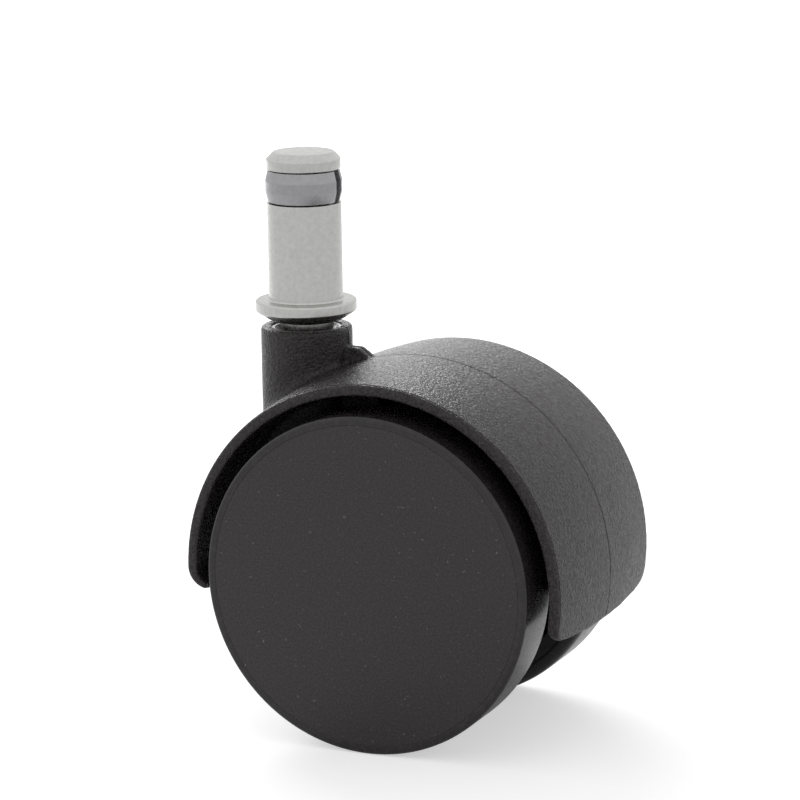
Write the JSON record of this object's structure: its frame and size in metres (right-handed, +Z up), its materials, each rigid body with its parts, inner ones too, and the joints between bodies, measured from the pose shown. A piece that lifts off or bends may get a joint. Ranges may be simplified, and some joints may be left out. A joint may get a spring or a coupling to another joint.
{
  "type": "chair caster",
  "caption": "Hooded twin-wheel chair caster: a plastic housing that swivels on a steel grip-ring stem, with free-rolling wheels either side of its web.",
  "frame": {"origin": "stem axis at the top face of the flange, where the chair leg sits", "axes": "+Z up along the stem into the leg, +X from the stem towards the trailing axle, +Y along the axle towards the right wheel"},
  "size_m": [0.0602, 0.0408, 0.0844],
  "materials": {
    "plated_steel": "bright plated, turned",
    "spring_steel": "sprung steel, oiled",
    "hardened_steel": "ground",
    "axle_steel": "drawn bar",
    "bush_acetal": "moulded, black",
    "washer_nylon": "moulded, natural white",
    "hood_nylon": "fine spark-eroded grain, dark grey-black",
    "wheel_nylon": "moulded, black",
    "cap_nylon": "fine matt grain, dark grey",
    "tread_polyurethane": "smooth and glossy, dark grey"
  },
  "bodies": {
    "stem": {"stem": "plated_steel", "grip_ring": "spring_steel", "stem_ring": "spring_steel"},
    "housing": {"hood": "hood_nylon", "stem_bush": "bush_acetal", "stem_pad": "hardened_steel", "axle": "axle_steel", "axle_clips": "spring_steel", "washer_left": "washer_nylon", "washer_right": "washer_nylon"},
    "left_wheel": {"wheel_left": "wheel_nylon", "tyre_left": "tread_polyurethane", "cap_left": "cap_nylon"},
    "right_wheel": {"wheel_right": "wheel_nylon", "tyre_right": "tread_polyurethane", "cap_right": "cap_nylon"}
  },
  "joints": [
    {"name": "swivel", "type": "hinge", "parent": "stem", "child": "housing", "pos_m": [0, 0, 0], "axis": [0, 0, 1], "continuous": true},
    {"name": "left_wheel_spin", "type": "hinge", "parent": "housing", "child": "left_wheel", "pos_m": [0.0177, 0, -0.0374], "axis": [0, 1, 0], "continuous": true},
    {"name": "right_wheel_spin", "type": "hinge", "parent": "housing", "child": "right_wheel", "pos_m": [0.0177, 0, -0.0374], "axis": [0, 1, 0], "continuous": true}
  ]
}
